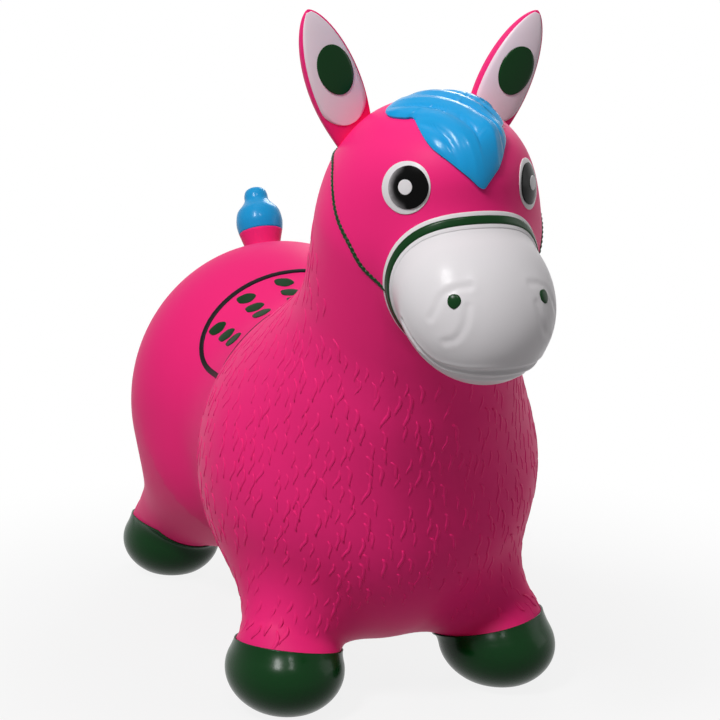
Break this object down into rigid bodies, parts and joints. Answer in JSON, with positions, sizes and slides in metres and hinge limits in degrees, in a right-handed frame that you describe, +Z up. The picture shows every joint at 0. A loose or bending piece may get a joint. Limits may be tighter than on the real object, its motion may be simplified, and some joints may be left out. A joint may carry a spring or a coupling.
{
  "type": "bouncy horse hopper",
  "caption": "Inflated vinyl ride-on horse hopper with stub legs, painted hooves and face, leaf ears, knob tail and an inflation plug; a child sits on the waist and bounces.",
  "frame": {"origin": "on the floor, under the middle of the horse's length, in its plane of symmetry", "axes": "+Z up, -Y the way the horse looks, +X its left side"},
  "size_m": [0.2667, 0.598, 0.509],
  "materials": {
    "pink_vinyl": "satin soft vinyl",
    "green_paint": "glossy paint on vinyl",
    "white_paint": "glossy paint on vinyl",
    "blue_paint": "glossy paint on vinyl",
    "black_paint": "glossy paint on vinyl",
    "valve_plastic": "translucent white soft plastic"
  },
  "bodies": {
    "feet": {"front_left_leg": "pink_vinyl", "front_left_hoof": "green_paint", "front_right_leg": "pink_vinyl", "front_right_hoof": "green_paint", "rear_left_leg": "pink_vinyl", "rear_left_hoof": "green_paint", "rear_right_leg": "pink_vinyl", "rear_right_hoof": "green_paint"},
    "torso": {"fore_barrel": "pink_vinyl", "hind_barrel": "pink_vinyl", "neck": "pink_vinyl", "saddle_outline": "black_paint", "valve_seat": "valve_plastic", "tail_root": "pink_vinyl", "saddle_spot_1": "green_paint", "saddle_spot_2": "green_paint", "saddle_spot_3": "green_paint", "saddle_spot_4": "green_paint", "saddle_spot_5": "green_paint", "saddle_spot_6": "green_paint", "saddle_spot_7": "green_paint", "saddle_spot_8": "green_paint", "saddle_spot_9": "green_paint", "saddle_spot_10": "green_paint", "saddle_spot_11": "green_paint", "saddle_spot_12": "green_paint"},
    "head": {"head": "pink_vinyl", "muzzle": "white_paint", "noseband": "green_paint", "forelock": "blue_paint", "left_cheek_strap": "green_paint", "right_cheek_strap": "green_paint", "left_ear_root": "pink_vinyl", "right_ear_root": "pink_vinyl", "left_eye_white": "white_paint", "left_pupil": "black_paint", "left_eye_glint": "white_paint", "left_nostril": "green_paint", "right_eye_white": "white_paint", "right_pupil": "black_paint", "right_eye_glint": "white_paint", "right_nostril": "green_paint"},
    "left_ear": {"left_ear": "pink_vinyl", "left_ear_lining": "white_paint", "left_ear_spot": "green_paint"},
    "right_ear": {"right_ear": "pink_vinyl", "right_ear_lining": "white_paint", "right_ear_spot": "green_paint"},
    "tail": {"tail_stem": "pink_vinyl", "tail_tuft": "blue_paint"},
    "plug": {"valve_plug": "valve_plastic"}
  },
  "joints": [
    {"name": "bounce", "type": "slide", "parent": "feet", "child": "torso", "axis": [0, 0, 1], "range_m": [-0.028, 0], "stiffness_N_per_m": 6000, "springref_m": 0.004, "deforming": ["front_left_leg", "front_right_leg", "rear_left_leg", "rear_right_leg"]},
    {"name": "head_nod", "type": "hinge", "parent": "torso", "child": "head", "pos_m": [0, -0.1361, 0.2958], "axis": [1, 0, 0], "range_deg": [-8, 8], "stiffness_Nm_per_rad": 25, "springref_deg": -0.57, "deforming": ["neck"]},
    {"name": "left_ear_flex", "type": "hinge", "parent": "head", "child": "left_ear", "pos_m": [0.0535, -0.1509, 0.4379], "axis": [0.9171, 0, -0.3987], "range_deg": [-25, 25], "stiffness_Nm_per_rad": 0.6, "deforming": ["left_ear_root"]},
    {"name": "right_ear_flex", "type": "hinge", "parent": "head", "child": "right_ear", "pos_m": [-0.0535, -0.1509, 0.4379], "axis": [0.9171, 0, 0.3987], "range_deg": [-25, 25], "stiffness_Nm_per_rad": 0.6, "deforming": ["right_ear_root"]},
    {"name": "tail_flex", "type": "hinge", "parent": "torso", "child": "tail", "pos_m": [0, 0.22785, 0.30492], "axis": [1, 0, 0], "range_deg": [-22, 22], "stiffness_Nm_per_rad": 1.2, "deforming": ["tail_root"]},
    {"name": "plug_pull", "type": "slide", "parent": "torso", "child": "plug", "axis": [0, 0.9777, 0.2101], "range_m": [0, 0.03]}
  ]
}
